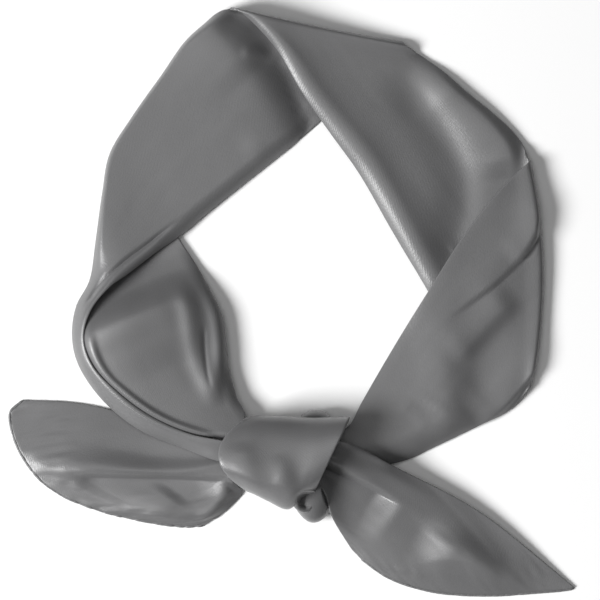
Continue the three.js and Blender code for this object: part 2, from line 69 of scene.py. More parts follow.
def place(across, far, height=0.0):
    """Points of the lay in millimetres, from their places in plan and their heights."""
    x = (np.asarray(across, float) - MIDDLE[0]) / STEPS * LAY
    y = (MIDDLE[1] - np.asarray(far, float)) / STEPS * LAY
    return np.stack([x, y, np.broadcast_to(np.asarray(height, float), x.shape)], -1)


def in_plan(points):
    """The places in plan of points in millimetres."""
    across = points[..., 0] / LAY * STEPS + MIDDLE[0]
    far = MIDDLE[1] - points[..., 1] / LAY * STEPS
    return np.stack([across, far], -1)


def in_knot(along, back, up):
    """Points of the knot in millimetres, from shares of its length, depth and height."""
    middle = place(*KNOT_AT)
    x = middle[0] + np.asarray(along, float) * KNOT_LENGTH
    y = middle[1] + np.asarray(back, float) * KNOT_DEPTH
    return np.stack([x, y, np.asarray(up, float) * KNOT_HEIGHT], -1)


def table(columns, rows):
    """The columns of a table as arrays by name."""
    values = np.array(rows, float)
    return {name: values[:, i] for i, name in enumerate(columns.split())}


def curve(points, at):
    """A smooth curve through points, read at row numbers that may lie between rows."""
    p = np.asarray(points, float)
    n = len(p)
    padded = np.concatenate([[2 * p[0] - p[1]], p, [2 * p[-1] - p[-2]]])
    at = np.clip(np.asarray(at, float), 0, n - 1)
    i = np.minimum(at.astype(int), n - 2)
    t = (at - i)[:, None]
    p0, p1, p2, p3 = (padded[i + k] for k in range(4))
    spans = ((p0, p1), (p1, p2), (p2, p3))
    gap = [np.sqrt(np.linalg.norm(b - a, axis=1, keepdims=True)) for a, b in spans]
    mid = np.where(gap[1] < 1e-4, 1.0, gap[1])
    first = np.where(gap[0] < 1e-4, mid, gap[0])
    last = np.where(gap[2] < 1e-4, mid, gap[2])
    t1 = ((p1 - p0) / first - (p2 - p0) / (first + mid) + (p2 - p1) / mid) * mid
    t2 = ((p2 - p1) / mid - (p3 - p1) / (mid + last) + (p3 - p2) / last) * mid
    c2 = -3 * p1 + 3 * p2 - 2 * t1 - t2
    c3 = 2 * p1 - 2 * p2 + t1 + t2
    return p1 + t1 * t + c2 * t ** 2 + c3 * t ** 3


def hump(share, peak):
    """A hump of height 1 between 0 and 1, with its top at the share peak."""
    w = np.power(np.clip(share, 0, 1), np.log(0.5) / np.log(peak))
    return 4 * w * (1 - w)


def roll_drop(distance, width):
    """How far a rolled edge has dropped at a distance from the edge, as a share of its whole drop."""
    s = np.clip(1 - distance / width, 0, 1)
    return s * s * (0.75 + 0.25 * s * s)


def fold_height(folds, plan):
    """The height that folds add at places in plan. A fold is (places of its path, rise, width on the left
    of its way, width on the right, how full it starts, how full it ends)."""
    height = np.zeros(plan.shape[:-1])
    for path, rise, left, right, start, end in folds:
        dense = curve(np.array(path, float), np.linspace(0, len(path) - 1, 10 * len(path)))
        best = np.full(height.shape, 1e9)
        side = np.ones(height.shape)
        along = np.zeros(height.shape)
        for k in range(len(dense) - 1):
            a, span = dense[k], dense[k + 1] - dense[k]
            rest = plan - a
            share = np.clip((rest @ span) / (span @ span), 0, 1)
            off = rest - share[..., None] * span
            distance = np.hypot(off[..., 0], off[..., 1])
            nearer = distance < best
            turn = rest[..., 0] * span[1] - rest[..., 1] * span[0]
            best = np.where(nearer, distance, best)
            side = np.where(nearer, np.where(turn >= 0, 1, -1), side)
            along = np.where(nearer, (k + share) / (len(dense) - 1), along)
        fade = np.clip(4 * along + start, 0, 1) * np.clip(4 * (1 - along) + end, 0, 1)
        fade = fade * fade * (3 - 2 * fade)
        width = np.where(side > 0, left, right)
        height += rise * fade * np.exp(-((best / width) ** 2))
    return height


def wobble(u, v, pitch_u, pitch_v, seed):
    """Smooth irregular waves between -1 and 1 over cloth coordinates in millimetres."""
    values = np.random.RandomState(seed).uniform(-1, 1, (64, 64))
    a, b = u / pitch_u + 20, v / pitch_v + 20
    i, j = np.floor(a).astype(int), np.floor(b).astype(int)
    s, t = a - i, b - j
    s, t = s * s * (3 - 2 * s), t * t * (3 - 2 * t)
    at = lambda p, q: values[p % 64, q % 64]
    low = at(i, j) * (1 - s) + at(i + 1, j) * s
    high = at(i, j + 1) * (1 - s) + at(i + 1, j + 1) * s
    return low * (1 - t) + high * t


# The band's sections, in the columns that the solids' sections have. Heights are shares of the band's lift.
SECTION = "a_across a_far a_lift b_across b_far b_lift under crown peak bow roll_a roll_b"
OUTER = table(SECTION, [
    [262, 444, 0.78, 262, 462, 0.62, 0, 0.02, 0.5, 0, 0.02, 0.05],
    [221, 438, 0.84, 224, 463, 0.62, 0, 0.02, 0.5, 0, 0.04, 0.12],
    [188, 431, 0.8, 181, 448, 0.5, 0, 0.05, 0.5, 0, 0.08, 0.18],
    [149, 413, 0.78, 138, 430, 0.42, 0, 0.06, 0.5, 0, 0.1, 0.2],
    [117, 389, 0.78, 101, 400, 0.38, 0, 0.06, 0.5, 0, 0.1, 0.3],
    [94, 364, 0.78, 77, 364, 0.34, 0, 0.06, 0.5, 0, 0.1, 0.34],
    [86, 338, 0.8, 71, 336, 0.34, 0, 0.06, 0.5, 0, 0.1, 0.34],
    [93, 311, 0.82, 75, 306, 0.36, 0, 0.06, 0.5, 0, 0.1, 0.36],
    [111, 288, 0.82, 88, 281, 0.36, 0, 0.05, 0.5, 0, 0.12, 0.36],
    [130, 274, 0.62, 95, 240, 0.44, 0, 0.02, 0.5, 0, 0.14, 0.4],
    [158, 252, 0.46, 102, 190, 0.4, 0, 0, 0.5, 0, 0.2, 0.36],
    [180, 237, 0.38, 109, 153, 0.36, 0, 0, 0.5, 0, 0.24, 0.32],
    [204, 217, 0.34, 132, 115, 0.34, 0, 0, 0.5, 0, 0.26, 0.3],
    [240, 188, 0.32, 161, 74, 0.36, 0, 0, 0.5, 0, 0.26, 0.32],
    [272, 163, 0.3, 185, 40, 0.46, 0, 0.02, 0.5, 0, 0.26, 0.38],
    [305, 137, 0.26, 206, 21, 0.58, 0, 0.04, 0.5, 0, 0.22, 0.4],
    [345, 100, 0.08, 214, 14, 0.6, 0, 0.06, 0.5, 0, 0.04, 0.3],
    [392, 54, 0.02, 221, 10.5, 0.6, 0, 0, 0.5, 0, 0, 0.2],
    [403, 42, 0.12, 229, 8.5, 0.66, 0, 0, 0.5, 0.004, 0, 0.14],
    [408, 46, 0.3, 237, 10.5, 0.78, 0, 0, 0.5, 0.002, 0.1, 0.16],
    [413, 49, 0.36, 248, 19, 0.79, 0, 0.02, 0.5, 0, 0.2, 0.24],
    [419, 53, 0.3, 275, 49, 0.7, 0, 0, 0.5, 0, 0.26, 0.3],
    [427, 58, 0.32, 300, 92, 0.6, 0, -0.02, 0.5, 0, 0.3, 0.26],
    [443, 69, 0.34, 327, 131, 0.52, 0, -0.03, 0.5, 0, 0.32, 0.28],
    [466, 89, 0.34, 358, 174, 0.46, 0, -0.02, 0.5, 0, 0.32, 0.3],
    [492, 110, 0.34, 391, 231, 0.4, 0, 0, 0.5, 0, 0.32, 0.3],
    [513, 129, 0.32, 415, 271, 0.34, 0, 0, 0.5, 0, 0.3, 0.26],
    [523, 142, 0.28, 443, 315, 0.2, 0, 0, 0.5, 0.004, 0.22, 0.14],
    [526, 149, 0.26, 492, 362, 0.06, 0, -0.04, 0.6, 0.012, 0.1, 0.02],
    [527, 155, 0.25, 521, 382, 0.02, 0, -0.08, 0.6, 0.018, 0.04, 0],
    [529, 158, 0.28, 531, 387, 0.08, 0, -0.02, 0.6, 0.021, 0.02, 0],
    [528, 161, 0.26, 530, 389, 0.08, 1, 0, 0.6, 0.0205, 0.02, 0.02],
    [515, 173, 0.29, 521, 401, 0.12, 1, 0.03, 0.6, 0.012, 0.03, 0.14],
    [492, 197, 0.38, 508, 413, 0.2, 1, 0.03, 0.6, 0.003, 0.04, 0.26],
    [461, 237, 0.4, 486, 424, 0.26, 1, 0.02, 0.6, 0, 0.05, 0.32],
    [427, 291, 0.38, 457, 438, 0.26, 1, 0, 0.5, 0, 0.06, 0.34],
    [401, 333, 0.28, 432, 450, 0.26, 1, 0, 0.5, 0, 0.12, 0.34],
    [376, 375, 0.26, 408, 461, 0.26, 1, 0, 0.5, 0, 0.14, 0.32],
    [360, 403, 0.28, 382, 466, 0.28, 1, 0, 0.5, 0, 0.1, 0.2],
    [348, 425, 0.3, 352, 460, 0.3, 1, 0, 0.5, 0, 0.03, 0.06],
    [334, 431, 0.32, 333, 452, 0.3, 1, 0, 0.5, 0, 0.02, 0.04],
])
# The rows at which the band folds over at the back and at the right.
TOP_TURN = 18
RIGHT_TURN = 30
OUTER_ROWS = len(OUTER["under"])

# The sections of its hollow inner side at the front left.
CUP = table(SECTION, [
    [242, 440, 0.62, 241, 429, 0.64, 0, 0, 0.4, 0, 0.02, 0.02],
    [224, 439, 0.68, 246, 413, 0.46, 0, 0, 0.4, 0, 0.08, 0.04],
    [189, 433, 0.66, 238, 397, 0.38, 0, 0.02, 0.4, 0, 0.12, 0.1],
    [149, 417, 0.62, 230, 367, 0.34, 0, 0.06, 0.42, 0, 0.14, 0.12],
    [116, 393, 0.6, 227, 341, 0.32, 0, 0.12, 0.42, 0, 0.14, 0.12],
    [91, 366, 0.58, 223, 315, 0.3, 0, 0.26, 0.44, 0, 0.14, 0.12],
    [81, 338, 0.58, 211, 289, 0.24, 0, 0.34, 0.42, 0, 0.14, 0.1],
    [88, 309, 0.44, 196, 262, 0.12, 0, 0.02, 0.5, 0, 0.1, 0.06],
    [104, 288, 0.14, 181, 239, 0.06, 0, 0, 0.5, 0, 0, 0],
    [122, 271, 0.03, 165, 214, 0.02, 0, 0, 0.5, 0, 0, 0],
])

CUP_ROWS = len(CUP["under"])

# Folds: path, rise, width left and right of its way, how full it starts and ends.
CUP_FOLDS = [
    ([(93, 316), (91, 334), (94, 350), (101, 366), (111, 380), (123, 391), (138, 403), (154, 414),
      (173, 424), (191, 431), (209, 437)], 1.8, 4, 4.5, 0, 1),
    ([(172, 278), (181, 292), (187, 306), (190, 322), (193, 342), (197, 358), (204, 376), (211, 393),
      (219, 408)], 1.6, 11, 9, 0, 0),
    ([(196, 266), (208, 286), (217, 308), (220, 330), (220, 350), (217, 372), (216, 392),
      (222, 410)], 1.5, 7, 9, 0, 0),
    ([(204, 322), (204, 344), (207, 370), (212, 392)], -0.5, 2, 2, 0, 0),
]
LEFT_BACK_FOLDS = [
    ([(182, 217), (157, 237), (143, 248), (128, 259), (114, 271), (101, 284), (91, 299)],
     -1.5, 2.0, 2.0, 0, 1),
    ([(95, 262), (84, 290), (79, 325), (85, 356), (101, 386), (125, 410), (160, 431), (205, 450)],
     -0.7, 4, 4, 0, 1),
    ([(241, 13), (254, 22), (270, 40), (286, 60), (308, 94), (330, 132)], -5.6, 12, 24, 1, 1),
    ([(255, 40), (278, 66), (299, 100), (318, 132)], -2.0, 12, 50, 0, 1),
    ([(240, 55), (256, 53), (272, 57)], 0.8, 8, 6, 0, 1),
    ([(238, 152), (264, 142), (290, 135), (312, 132)], 1.2, 14, 16, 0, 1),
]
RIGHT_BACK_FOLDS = [
    ([(240, 14), (262, 36), (292, 82), (326, 128), (358, 162), (386, 205), (413, 250), (432, 283)],
     2.7, 24, 18, 0, 1),
    ([(390, 62), (418, 98), (442, 132), (458, 165), (464, 200), (456, 240)], -2.2, 16, 24, 0, 1),
    ([(418, 58), (455, 92), (488, 122), (508, 150), (512, 178)], 3.2, 11, 30, 0, 0.2),
]
RIGHT_FRONT_FOLDS = [
    ([(418, 339), (440, 322), (467, 303), (493, 284), (513, 265), (526, 251), (534, 238), (538, 216)],
     1.5, 34, 1.8, -0.6, 1),
    ([(513, 265), (526, 251), (534, 238), (539, 214)], 1.6, 20, 2.0, 0, 1),
    ([(452, 361), (470, 342), (495, 315), (518, 296)], 2.0, 26, 10, 0, 0),
    ([(480, 426), (503, 407), (519, 389), (536, 367)], 2.6, 32, 3.5, 0.2, 1),
    ([(414, 391), (434, 403), (453, 418)], 0.5, 3, 3, 0, 0),
    ([(398, 402), (416, 414), (430, 428)], 0.4, 3, 4, 0, 0),
]


class Ply:
    """A stretch of folded band between its sections, as points over row numbers and shares across."""

    def __init__(self, rows, folds, keep_a, keep_b, wide_a, wide_b):
        even = np.ones(len(rows["under"]))
        self.wide_a, self.wide_b = (np.stack([wide * even, 0 * even], -1) for wide in (wide_a, wide_b))
        level = BAND_WALL / 2 + rows["under"] * (BAND_WALL + CLEARANCE)
        rows = dict(rows)
        for side, keep in (("a", keep_a), ("b", keep_b)):
            rows[side + "_lift"] = rows[side + "_lift"] - (1 - keep) * rows["roll_" + side]
            rows["roll_" + side] = keep * rows["roll_" + side]
        self.a = place(rows["a_across"], rows["a_far"], level + rows["a_lift"] * BAND_LIFT)
        self.b = place(rows["b_across"], rows["b_far"], level + rows["b_lift"] * BAND_LIFT)
        self.rise = np.stack([rows["crown"] * BAND_LIFT, rows["peak"], 0 * level], -1)
        rolls = [rows["roll_a"] * BAND_LIFT, rows["roll_b"] * BAND_LIFT]
        self.form = np.stack(rolls + [rows["bow"] * LAY], -1)
        self.folds = folds

    def points(self, rows, shares):
        a, b = curve(self.a, rows)[:, None], curve(self.b, rows)[:, None]
        rise, form = curve(self.rise, rows)[:, None], curve(self.form, rows)[:, None]
        s = shares[None, :]
        run = (b - a)[..., :2]
        width = np.hypot(run[..., 0], run[..., 1])
        inset = BAND_WALL / 2 / width
        p = a + (b - a) * (inset + s * (1 - 2 * inset))[..., None]
        bow = form[..., 2] * hump(s, 0.5)
        p[..., 0] -= bow * run[..., 1] / width
        p[..., 1] += bow * run[..., 0] / width
        wide = (self.wide_a, self.wide_b)
        roll_a, roll_b = (np.minimum(curve(w, rows)[:, None, 0], width / 2) for w in wide)
        p[..., 2] += rise[..., 0] * hump(s, rise[..., 1])
        p[..., 2] -= form[..., 0] * roll_drop(s * width, roll_a)
        p[..., 2] -= form[..., 1] * roll_drop((1 - s) * width, roll_b)
        for first, last, folds in self.folds:
            inside = (rows >= first) & (rows < last)
            if inside.any():
                p[inside, :, 2] += fold_height(folds, in_plan(p[inside]))
        return p


def spaced(points_at, first, last, step_at):
    """Row numbers from first to last, a step of cloth apart, where points_at gives the middle line."""
    rows = np.linspace(first, last, 4000)
    line = points_at(rows)
    length = np.concatenate([[0], np.cumsum(np.linalg.norm(np.diff(line, axis=0), axis=1))])
    need = np.concatenate([[0], np.cumsum(np.diff(length) / step_at(rows[1:]))])
    count = max(8, int(round(need[-1])))
    return np.interp(np.linspace(0, need[-1], count + 1), need, rows)


def edged(inner, reach):
    """Shares from 0 to 1 with three more close to each end, for a round rim."""
    rim = np.array([0, 0.07, 0.3, 0.7]) * reach
    middle = np.linspace(reach * 1.3, 1 - reach * 1.3, inner)
    return np.concatenate([rim, middle, 1 - rim[::-1]])


def closed_sheet(name, grid, wall, uv):
    """A closed mesh round a grid of points on its middle surface, with a round rim on all four sides."""
    d0 = np.gradient(grid, axis=0)
    d1 = np.gradient(grid, axis=1)
    normal = np.cross(d1, d0)
    normal /= np.maximum(np.linalg.norm(normal, axis=2, keepdims=True), 1e-9)

    def from_edge(axis):
        step = np.linalg.norm(np.diff(grid, axis=axis), axis=2)
        pad = [(1, 0), (0, 0)] if axis == 0 else [(0, 0), (1, 0)]
        run = np.cumsum(np.pad(step, pad), axis=axis)
        whole = run[-1:] if axis == 0 else run[:, -1:]
        return np.minimum(run, whole - run)

    half = wall / 2
    round_off = lambda d: np.sqrt(np.clip(1 - (1 - np.minimum(d / half, 1)) ** 2, 0, 1))
    thick = (half * round_off(from_edge(0)) * round_off(from_edge(1)))[..., None]
    top, bottom = grid + normal * thick, grid - normal * thick
    if top[..., 2].mean() < bottom[..., 2].mean():
        top, bottom = bottom, top
    for side in (top, bottom):
        side[..., 2] = np.maximum(side[..., 2], 0)
    rows, columns = grid.shape[:2]
    top_index = np.arange(rows * columns).reshape(rows, columns)
    bottom_index = top_index.copy()
    inner = np.arange((rows - 2) * (columns - 2)).reshape(rows - 2, columns - 2)
    bottom_index[1:-1, 1:-1] = inner + rows * columns
    points = np.concatenate([top.reshape(-1, 3), bottom[1:-1, 1:-1].reshape(-1, 3)]) * MM
    flat_uv = np.concatenate([uv.reshape(-1, 2), uv[1:-1, 1:-1].reshape(-1, 2)])

    def quads(index, flip):
        corners = [index[:-1, :-1], index[1:, :-1], index[1:, 1:], index[:-1, 1:]]
        q = np.stack(corners, -1).reshape(-1, 4)
        return q[:, ::-1] if flip else q

    faces = np.concatenate([quads(top_index, False), quads(bottom_index, True)])
    return mesh_object(name, points, faces, flat_uv)


def mesh_object(name, points, faces, uv):
    """A smooth mesh object from points in metres, four-sided faces and cloth coordinates."""
    mesh = bpy.data.meshes.new(name)
    mesh.from_pydata(points.tolist(), [], faces.tolist())
    layer = mesh.uv_layers.new(name="cloth")
    corner = np.zeros(len(mesh.loops), int)
    mesh.loops.foreach_get("vertex_index", corner)
    layer.data.foreach_set("uv", uv[corner].astype(np.float32).ravel())
    mesh.validate()
    if signed_volume(points, faces) < 0:
        mesh.flip_normals()
    mesh.polygons.foreach_set("use_smooth", [True] * len(mesh.polygons))
    piece = bpy.data.objects.new(name, mesh)
    bpy.context.scene.collection.objects.link(piece)
    return piece


def signed_volume(points, faces):
    """The volume inside four-sided faces, negative where they face in."""
    a, b, c, d = (points[faces[:, k]] for k in range(4))
    first = np.einsum("ij,ij->i", a, np.cross(b, c)).sum()
    second = np.einsum("ij,ij->i", a, np.cross(c, d)).sum()
    return (first + second) / 6


def cloth_uv(grid):
    """Cloth coordinates in metres: across the cloth, and along it from the first row."""
    along = np.linalg.norm(np.diff(grid, axis=0), axis=2)
    across = np.linalg.norm(np.diff(grid, axis=1), axis=2)
    v = np.concatenate([[0], np.cumsum(along.mean(1))])[:, None] + 0 * grid[..., 0]
    u = np.concatenate([np.zeros((len(grid), 1)), np.cumsum(across, 1)], 1)
    u = u - u[:, -1:] / 2
    return np.stack([u, v], -1) * MM


def band_piece(name, rows_table, folds, last, step_at, columns, seed, *edges):
    """A stretch of band from its first row to its last, with its folds and a slight waviness."""
    ply = Ply(rows_table, folds, *edges)
    middle = np.array([0.25, 0.5, 0.75])
    lines = lambda r: ply.points(r, middle).reshape(len(r), 9)
    rows = spaced(lines, 0, last, lambda r: 3 * step_at(r))
    t = edged(columns, 0.012)
    shares = 0.35 * t + 0.65 * (0.5 - 0.5 * np.cos(np.pi * t))
    grid = ply.points(rows, shares)
    uv = cloth_uv(grid)
    u, v = uv[..., 0] / MM, uv[..., 1] / MM
    calm = np.clip(4 * shares * (1 - shares), 0, 1)[None, :]
    grid[..., 2] += 0.16 * calm * wobble(u, v, 12, 44, seed) + 0.05 * calm * wobble(u, v, 5, 15, seed + 1)
    grid[..., 2] = np.maximum(grid[..., 2], BAND_WALL / 2)
    return closed_sheet(name, grid, BAND_SHEET, uv)


def outer_step(rows):
    """The step of cloth between the band's rows, finer where it folds over."""
    near_turn = np.minimum(abs(rows - TOP_TURN), abs(rows - RIGHT_TURN)) < 1.4
    return np.where(near_turn, 0.6, 1.6)


def cup_step(rows):
    """The step of cloth between the rows of the inner side."""
    return 0 * rows + 1.0


# From which row to which each list of folds lies on the band.
outer_folds = [
    (0, TOP_TURN, LEFT_BACK_FOLDS),
    (TOP_TURN, RIGHT_TURN, RIGHT_BACK_FOLDS),
    (RIGHT_TURN, OUTER_ROWS, RIGHT_FRONT_FOLDS),
]
row = np.arange(OUTER_ROWS)

# How much of its roll each long edge keeps row by row, and how wide the roll is, in millimetres.
outer_keep_a = np.where(row < TOP_TURN, 1.0, np.where(row < RIGHT_TURN, 0.15, 0.2))
outer_keep_b = np.where((row < 30) | (row > 34), 1.0, 0.15)
outer_keep_b[:9] = 0.4
outer_keep_b[18:23] = [0.4, 0.4, 0.45, 0.55, 0.75]
outer_wide_a = np.where(row < 11, 4.0, 8.0)
outer_wide_b = np.interp(row, [0, 8, 10, 14, 17, 19, 21, 24, 28, 29, 34, 35, 40],
                         [8, 7, 2.5, 2.5, 6, 7, 9, 13, 12, 6, 6, 13, 13])
band = band_piece("band", OUTER, outer_folds, OUTER_ROWS - 1, outer_step, 90, 11,
                  outer_keep_a, outer_keep_b, outer_wide_a, outer_wide_b)
cup = band_piece("band_inner_side", CUP, [(0, CUP_ROWS, CUP_FOLDS)], CUP_ROWS - 1, cup_step, 70, 23,
                 1.0, 1.0, 4.0, 6.0)

# The tails spread from the knot in rays, in the columns that the solids' rays have.
RAY = "rx ry rz mx my mz near_across near_far near_up far_across far_far far_up tip_across tip_far tip_up"
LEFT_RAYS = table(RAY, [
    [-0.17, 0.1, 0.36, -0.4, 0.1, 0.31, 152, 422, 0.12, 84, 404, 0.03, 21, 399, 0.02],
    [-0.17, 0.06, 0.36, -0.42, 0.06, 0.31, 156, 440, 0.28, 84, 422, 0.16, 8, 412, 0.02],
    [-0.17, 0.02, 0.36, -0.42, 0.02, 0.32, 160, 457, 0.42, 88, 443, 0.32, 11, 437, 0.02],
    [-0.17, -0.02, 0.38, -0.42, -0.03, 0.35, 165, 471, 0.66, 92, 466, 0.62, 24, 464, 0.06],
    [-0.17, -0.05, 0.38, -0.42, -0.07, 0.34, 165, 480, 0.62, 100, 480, 0.5, 48, 490, 0.02],
    [-0.17, -0.08, 0.38, -0.4, -0.11, 0.34, 180, 490, 0.6, 130, 498, 0.46, 93, 511, 0.02],
    [-0.17, -0.1, 0.38, -0.39, -0.14, 0.34, 200, 494, 0.56, 172, 510, 0.42, 146, 524, 0.02],
    [-0.17, -0.12, 0.4, -0.38, -0.17, 0.36, 222, 492, 0.56, 210, 512, 0.4, 184, 529, 0.04],
    [-0.17, -0.13, 0.4, -0.38, -0.19, 0.33, 242, 493, 0.1, 228, 509, 0.05, 204, 528, 0.02],
])
RIGHT_RAYS = table(RAY, [
    [0.2, 0.24, 0.66, 0.42, 0.21, 0.62, 398, 468, 0.48, 480, 512, 0.24, 577, 590, 0.02],
    [0.2, 0.16, 0.7, 0.4, 0.1, 0.68, 398, 480, 0.54, 486, 532, 0.18, 570, 592, 0.02],
    [0.2, 0.08, 0.74, 0.38, 0, 0.72, 390, 488, 0.52, 480, 553, 0.18, 538, 595, 0.02],
    [0.19, 0, 0.62, 0.36, -0.08, 0.56, 378, 499, 0.48, 440, 550, 0.2, 488, 598, 0.02],
    [0.18, -0.08, 0.56, 0.34, -0.17, 0.5, 364, 508, 0.44, 402, 555, 0.22, 432, 594, 0.02],
    [0.17, -0.14, 0.54, 0.31, -0.24, 0.52, 346, 516, 0.4, 366, 550, 0.18, 388, 580, 0.02],
    [0.16, -0.19, 0.54, 0.28, -0.32, 0.52, 331, 515, 0.5, 345, 539, 0.18, 359, 560, 0.02],
])
LEFT_TAIL_FOLDS = [
    ([(18, 464), (46, 469), (99, 470), (149, 472), (182, 473), (228, 474)], 1.4, 11, 5, 0, 1),
    ([(62, 477), (99, 478), (149, 479), (182, 480), (226, 481)], -3.2, 4, 22, 0, 0.3),
    ([(182, 480), (168, 500), (154, 524)], 1.4, 18, 24, -1, 1),
    ([(230, 488), (223, 498), (213, 512), (200, 524)], 1.2, 5, 8, 0.2, 0.4),
]
RIGHT_TAIL_FOLDS = [
    ([(320, 466), (343, 476), (374, 491), (402, 508), (434, 530)], -5.2, 3.5, 30, 1, -1),
    ([(372, 512), (402, 524), (430, 538), (456, 553), (480, 570), (500, 586), (512, 595)],
     4.6, 18, 26, -1, 0.4),
    ([(341, 434), (358, 448), (374, 456), (398, 467)], 1.2, 3, 5, 1, 0),
]


class Tail:
    """A tail as points over ray numbers and shares from the knot to its free edge."""

    def __init__(self, rays, lift, folds):
        up = TAIL_WALL / 2
        self.controls = [
            in_knot(rays["rx"], rays["ry"], rays["rz"]),
            in_knot(rays["mx"], rays["my"], rays["mz"]),
            place(rays["near_across"], rays["near_far"], up + rays["near_up"] * lift),
            place(rays["far_across"], rays["far_far"], up + rays["far_up"] * lift),
            place(rays["tip_across"], rays["tip_far"], up + rays["tip_up"] * lift),
        ]
        self.last = len(rays["rx"]) - 1
        self.folds = folds

    def points(self, rays, shares):
        control = np.stack([curve(c, rays) for c in self.controls], 1)
        lines = [curve(one, shares * (len(self.controls) - 1)) for one in control]
        p = np.stack(lines)
        low = np.clip(1 - (shares - 0.8) / 0.2, 0.15, 1)[None, :]
        p[..., 2] += low * fold_height(self.folds, in_plan(p))
        return p

    def free_edge(self, rays):
        return curve(self.controls[-1], rays)


def inside_edge(tail, rays, distance):
    """Points at a distance inside a tail's free edge, moved square to it and a little along the rays."""
    tips = tail.free_edge(rays)
    before = tail.free_edge(np.maximum(rays - 0.1, 0))
    after = tail.free_edge(np.minimum(rays + 0.1, tail.last))
    edge = after - before
    edge[:, 2] = 0
    edge /= np.linalg.norm(edge, axis=1, keepdims=True)
    ray = tail.points(rays, np.array([0.96, 1.0]))
    ray = ray[:, 0] - ray[:, 1]
    ray[:, 2] = 0
    ray /= np.linalg.norm(ray, axis=1, keepdims=True)
    normal = np.stack([-edge[:, 1], edge[:, 0], 0 * edge[:, 0]], -1)
    lean = (normal * ray).sum(1, keepdims=True)
    normal *= np.sign(lean)
    lean = abs(lean)
    inward = normal * (1 - lean ** 2) + ray * lean ** 2
    inward /= np.linalg.norm(inward, axis=1, keepdims=True)
    return tips + inward * distance / (inward * normal).sum(1, keepdims=True)


def tail_piece(name, rays_table, lift, folds, puckers, seed):
    """A tail's rays and its sheet. puckers is the height of the gathers close to its hem."""
    tail = Tail(rays_table, lift, folds)
    rays = edged(88, 0.006) * tail.last
    grid = tail.points(rays, np.linspace(0, SHEET_END, 92))
    end = inside_edge(tail, rays, HEM * 0.6)
    end[:, 2] = TAIL_WALL / 2 + 0.35
    near_end = grid[:, -1]
    reach = np.concatenate([np.linspace(0.1, 0.9, 9), [0.97, 0.99, 1]])
    more = [near_end + (end - near_end) * s for s in reach]
    grid = np.concatenate([grid, np.stack(more, 1)], 1)
    uv = cloth_uv(grid.transpose(1, 0, 2)).transpose(1, 0, 2)
    u, v = uv[..., 0] / MM, uv[..., 1] / MM
    free = np.clip(np.arange(grid.shape[1]) / grid.shape[1] * 4 - 1, 0, 1)[None, :]
    grid[..., 2] += free * (0.14 * wobble(u, v, 9, 30, seed) + 0.08 * wobble(u, v, 4, 11, seed + 1))
    share = np.arange(grid.shape[1]) / grid.shape[1]
    puckered = np.interp(share, [0, 0.78, 0.88, 0.97, 1], [0, 0, 1, 1, 0.3])[None, :]
    grid[..., 2] += puckers * puckered * np.maximum(wobble(u, v, 2.8, 7, seed + 2), -0.6)
    grid[..., 2] = np.maximum(grid[..., 2], TAIL_WALL / 2)
    return tail, closed_sheet(name, grid, TAIL_WALL, uv)


def tube(name, centres, radius, sides=12):
    """A closed tube with tapering ends round a line of centres. radius is one number for each centre."""
    ahead = np.gradient(centres, axis=0)
    ahead /= np.linalg.norm(ahead, axis=1, keepdims=True)
    side = np.cross(ahead, [0, 0, 1.0])
    side /= np.linalg.norm(side, axis=1, keepdims=True)
    up = np.cross(side, ahead)
    turn = 2 * np.pi * np.arange(sides) / sides
    ring = side[:, None] * np.cos(turn)[None, :, None] + up[:, None] * np.sin(turn)[None, :, None]
    points = centres[:, None] + ring * radius[:, None, None]
    points[..., 2] = np.maximum(points[..., 2], 0)
    n = len(centres)
    index = np.arange(n * sides).reshape(n, sides)
    nxt = np.roll(index, -1, axis=1)
    faces = np.stack([index[:-1], index[1:], nxt[1:], nxt[:-1]], -1).reshape(-1, 4).tolist()
    faces.append(index[0].tolist())
    faces.append(index[-1][::-1].tolist())
    length = np.concatenate([[0], np.cumsum(np.linalg.norm(np.diff(centres, axis=0), axis=1))])
    round_it = np.broadcast_to(turn * ROUND_A_TUBE, (n, sides))
    uv = np.stack([round_it, np.broadcast_to(length[:, None], (n, sides))], -1)
    mesh = bpy.data.meshes.new(name)
    mesh.from_pydata((points.reshape(-1, 3) * MM).tolist(), [], faces)
    layer = mesh.uv_layers.new(name="cloth")
    corner = np.zeros(len(mesh.loops), int)
    mesh.loops.foreach_get("vertex_index", corner)
    layer.data.foreach_set("uv", (uv.reshape(-1, 2)[corner] * MM).astype(np.float32).ravel())
    mesh.polygons.foreach_set("use_smooth", [True] * len(mesh.polygons))
    piece = bpy.data.objects.new(name, mesh)
    bpy.context.scene.collection.objects.link(piece)
    return piece


def hem_piece(name, tail, gather, seed):
    """The rolled hem of a tail's free edge, pinched at every stitch."""
    rays = spaced(tail.free_edge, 0, tail.last, lambda r: 0 * r + HEM_STEP)
    centres = inside_edge(tail, rays, HEM / 2)
    length = np.concatenate([[0], np.cumsum(np.linalg.norm(np.diff(centres, axis=0), axis=1))])
    pinch = 0.5 + 0.5 * np.cos(2 * np.pi * length / STITCH)
    uneven = np.clip(wobble(length, 0 * length, 2.6, 5, seed), 0, 1)
    radius = HEM / 2 * (0.72 - 0.05 * pinch ** 6 - gather * uneven)
    taper = np.clip(np.minimum(length, length[-1] - length) / 1.5, 0.2, 1)
    radius = radius * taper
    centres[:, 2] = radius + 0.12 + 0.12 * wobble(length, 0 * length, 7, 5, seed + 1)
    return tube(name, centres, radius)


